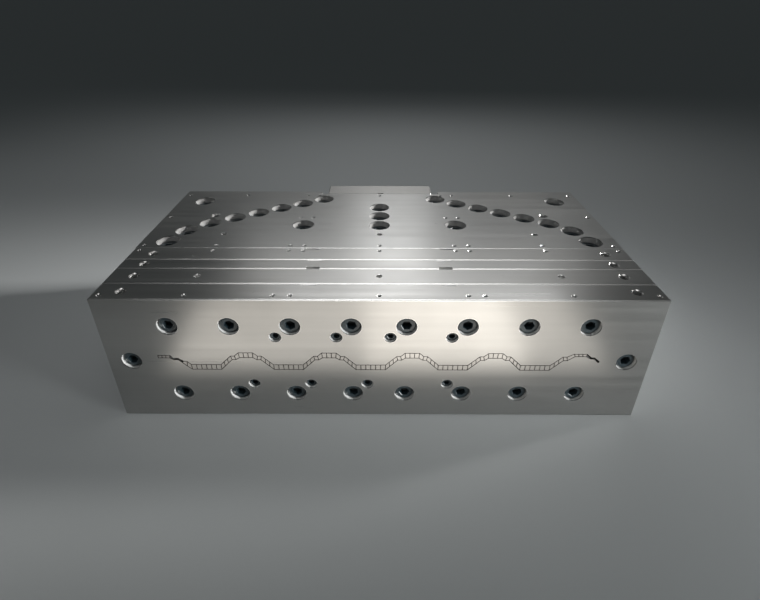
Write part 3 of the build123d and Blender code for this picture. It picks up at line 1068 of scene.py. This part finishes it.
@dataclass
class DieBlocks:
    """The die's blocks, core and dowels: the frame's own nodes, each with its finish."""

    plates: tuple[str, ...] = ("lip_plate", "preland_plate", "mandrel_plate", "transition_plate")
    plate_steel: Colour = (0.47, 0.466, 0.455, 1.0)
    body_steel: Colour = (0.44, 0.44, 0.432, 1.0)
    body_bores: Colour = (0.4, 0.4, 0.395, 1.0)
    adapter_steel: Colour = (0.40, 0.396, 0.385, 1.0)
    core_steel: Colour = (0.47, 0.46, 0.445, 1.0)
    core_stain: Colour = (0.40, 0.39, 0.37, 1.0)
    dowel_steel: Colour = (0.66, 0.66, 0.66, 1.0)
    bronze: Colour = (0.55, 0.38, 0.22, 1.0)
    stain: Colour = (0.38, 0.374, 0.36, 1.0)
    slot_reach: float = 30.0 * MM
    slot_margin: float = 8.0 * MM
    laps: tuple[tuple[float, float], ...] = ((-411.0, -384.0), (397.0, 432.0))
    finishes: dict[str, bpy.types.Material] = field(default_factory=dict)

    def __post_init__(self) -> None:
        """Makes the finish of each node."""
        adapter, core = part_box("inlet_adapter"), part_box("mandrel")
        height = (adapter[0][2] + adapter[1][2]) / 2
        die = (tuple(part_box("lip_plate")[0]), tuple(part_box("upper_body")[1]))
        slot = (
            (core[0][0] - self.slot_margin, die[0][1] - self.slot_margin, height - self.slot_reach),
            (core[1][0] + self.slot_reach, die[1][1], height + self.slot_reach),
        )
        laps = tuple(
            ((start * MM, *slot[0][1:]), (end * MM, *slot[1][1:])) for start, end in self.laps
        )
        for number, node in enumerate(self.plates):
            self.finishes[node] = SlottedSteel(
                f"ground_{node}", self.plate_steel, self.stain, 0.30 + 0.015 * (number % 2),
                Marks.ALONG_SLOT, shift=2.3 * number, block=die, slot=slot, laps=laps,
            ).material()
        body = BoredSteel(
            "ground_body", self.body_steel, self.stain, 0.34, Marks.ALONG_SLOT,
            shift=11.0, block=die, bore_colour=self.body_bores,
        ).material()
        self.finishes["upper_body"] = self.finishes["lower_body"] = body
        self.finishes["inlet_adapter"] = GroundSteel(
            "milled_adapter", self.adapter_steel, self.stain, 0.42, Marks.UPRIGHT, 3.5e-6, shift=17.0,
        ).material()
        self.finishes["mandrel"] = SlottedSteel(
            "wire_cut_core", self.core_steel, self.core_stain, 0.33, Marks.CROSSED, 2e-6,
            shift=23.0, block=die, slot=slot,
        ).material()
        self.finishes["seal_ring"] = TurnedMetal("turned_bronze", self.bronze, 0.35, height).material()
        dowel = GroundSteel(
            "hardened_dowel", self.dowel_steel, self.stain, 0.22, Marks.CROSSED, 1e-6,
        ).material()
        for node in frame["nodes"]:
            if node.endswith("_dowels"):
                self.finishes[node] = dowel

    def build(self) -> None:
        """Gives each node its finish."""
        for node, material in self.finishes.items():
            for place in frame["nodes"][node].material_slots:
                place.material = material
            log.info("finished %s with %s", node, material.name)


@dataclass(frozen=True)
class SoftLight:
    """One soft box of the studio, with its power in watts and its spread in degrees."""

    name: str
    place: Point
    target: Point
    width: float
    height: float
    power: float
    colour: Point = (1.0, 1.0, 1.0)
    spread: float = 180.0

    def build(self) -> bpy.types.Object:
        """Hangs the light.

        Returns:
            The light's object.
        """
        deselect()
        bpy.ops.object.light_add(type="AREA", location=self.place)
        lamp = bpy.context.object
        lamp.name = self.name
        lamp.data.shape = "RECTANGLE"
        lamp.data.size = self.width
        lamp.data.size_y = self.height
        lamp.data.energy = self.power
        lamp.data.color = self.colour
        lamp.data.spread = math.radians(self.spread)
        lamp.visible_camera = False
        aim = Vector(self.target) - Vector(self.place)
        lamp.rotation_euler = aim.to_track_quat("-Z", "Y").to_euler()
        return lamp


WARM: Point = (1.0, 0.94, 0.86)
SUNNY: Point = (1.0, 0.99, 0.97)
COOL: Point = (0.97, 1.0, 1.0)


@dataclass
class Studio:
    """A pale floor, soft light, and the camera at the photograph's viewing angle."""

    camera_place: Point = (0.0023, -1.0006, 0.7795)
    camera_pitch: float = -28.48
    camera_yaw: float = -0.124
    camera_roll: float = -0.124
    focal_pixels: float = 475.71
    optical_row: float = 250.0
    picture_width: int = 760
    picture_height: int = 600
    sensor_width: float = 36.0
    floor_size: float = 160.0
    floor_cuts: int = 7
    world_colour: Colour = (0.76, 0.86, 0.88, 1.0)
    world_strength: float = 0.05
    lights: tuple[SoftLight, ...] = (
        SoftLight("low_front", (0.16, -0.66, 0.03), (0.16, -0.62, 0.5), 0.38, 0.44, 0.66, WARM),
        SoftLight("low_wide", (0.02, -0.66, 0.02), (0.02, -0.62, 0.5), 1.04, 0.44, 1.5, WARM),
        SoftLight("joint_strip", (0.1, -1.11, 1.8), (0.1, -0.2, 0.29), 1.8, 0.5, 1.3, spread=60.0),
        SoftLight("key_low", (3.0, -1.7, 0.17), (0.0, -0.3, 0.14), 0.8, 0.24, 13.0, COOL, 50.0),
        SoftLight("top_right", (2.4, 0.5, 1.3), (-0.1, 0.1, 0.29), 0.5, 0.5, 3.6, SUNNY, 27.0),
        SoftLight("top_middle", (0.08, 2.0, 1.5), (0.05, 0.0, 0.29), 0.5, 0.9, 2.3),
        SoftLight("top_wide", (0.22, 2.0, 1.98), (0.10, -0.2, 0.29), 2.4, 0.34, 8.5),
        SoftLight("side_left", (-2.4, 0.6, 1.6), (-0.2, 0.0, 0.15), 1.0, 1.0, 2.0),
    )

    def build(self) -> None:
        """Sets up the floor, the lights and the camera."""
        self._floor()
        self._world()
        for light in self.lights:
            light.build()
        self._camera()

    def _floor(self) -> None:
        """Lays the floor just under the die."""
        deselect()
        lowest = cad_bounds[0][2]
        bpy.ops.mesh.primitive_plane_add(size=self.floor_size, location=(0.0, 0.0, lowest - MM))
        floor = bpy.context.object
        floor.name = "studio_floor"
        with editing(floor):
            bpy.ops.mesh.select_all(action="SELECT")
            bpy.ops.mesh.subdivide(number_cuts=self.floor_cuts)
        set_place(floor)
        dress(floor, StudioFloor().material())

    def _world(self) -> None:
        """Fills the studio with even light."""
        world = bpy.data.worlds.new("studio_air")
        world.use_nodes = True
        backdrop = world.node_tree.nodes["Background"]
        backdrop.inputs["Color"].default_value = self.world_colour
        backdrop.inputs["Strength"].default_value = self.world_strength
        bpy.context.scene.world = world
        bpy.context.scene.view_settings.view_transform = "Standard"

    def _camera(self) -> None:
        """Sets the camera where the photograph was taken from."""
        deselect()
        turn = Euler((
            math.radians(90.0 + self.camera_pitch), math.radians(self.camera_roll),
            math.radians(-self.camera_yaw),
        ))
        bpy.ops.object.camera_add(location=self.camera_place, rotation=turn)
        camera = bpy.context.object
        camera.name = "photo_camera"
        camera.data.sensor_width = self.sensor_width
        camera.data.lens = self.focal_pixels * self.sensor_width / self.picture_width
        camera.data.shift_y = -(self.picture_height / 2 - self.optical_row) / self.picture_width
        camera.data.clip_end = self.floor_size
        bpy.context.scene.camera = camera


def main() -> None:
    """Builds the dressed die and its studio."""
    logging.basicConfig(level=logging.INFO, format="%(name)s: %(message)s")
    blocks = DieBlocks()
    blocks.build()
    black = BlackOxide().material()
    # The threads are painted nearly black, as painted shade in the tapped holes.
    cut = GroundSteel(
        "painted_shade_thread", (0.06, 0.06, 0.06, 1.0), (0.05, 0.05, 0.05, 1.0), 0.5, Marks.CROSSED, 2e-6,
    ).material()
    parts: list[ScrewSet | TappedHoles | PunchMarks] = [
        ScrewSet(node, size, facing, seed, black)
        for seed, (node, size, facing) in enumerate(SCREWS, start=1)
    ]
    parts += [
        TappedHoles("lifting_threads", LIFTING_THREAD, ("_lifting",), -1.4 * MM, cut),
        TappedHoles("cover_threads", COVER_THREAD, ("_cover",), -1.6 * MM, cut),
        TappedHoles("flange_threads", LIFTING_THREAD, ("inlet_flange",), 1.2 * MM, cut, "adapter_steel"),
        PunchMarks(blocks.finishes["lip_plate"]),
    ]
    for part in parts:
        piece = part.build()
        log.info("built %s with %d faces", piece.name, len(piece.data.polygons))
    Studio().build()


if __name__ == "__main__":
    main()
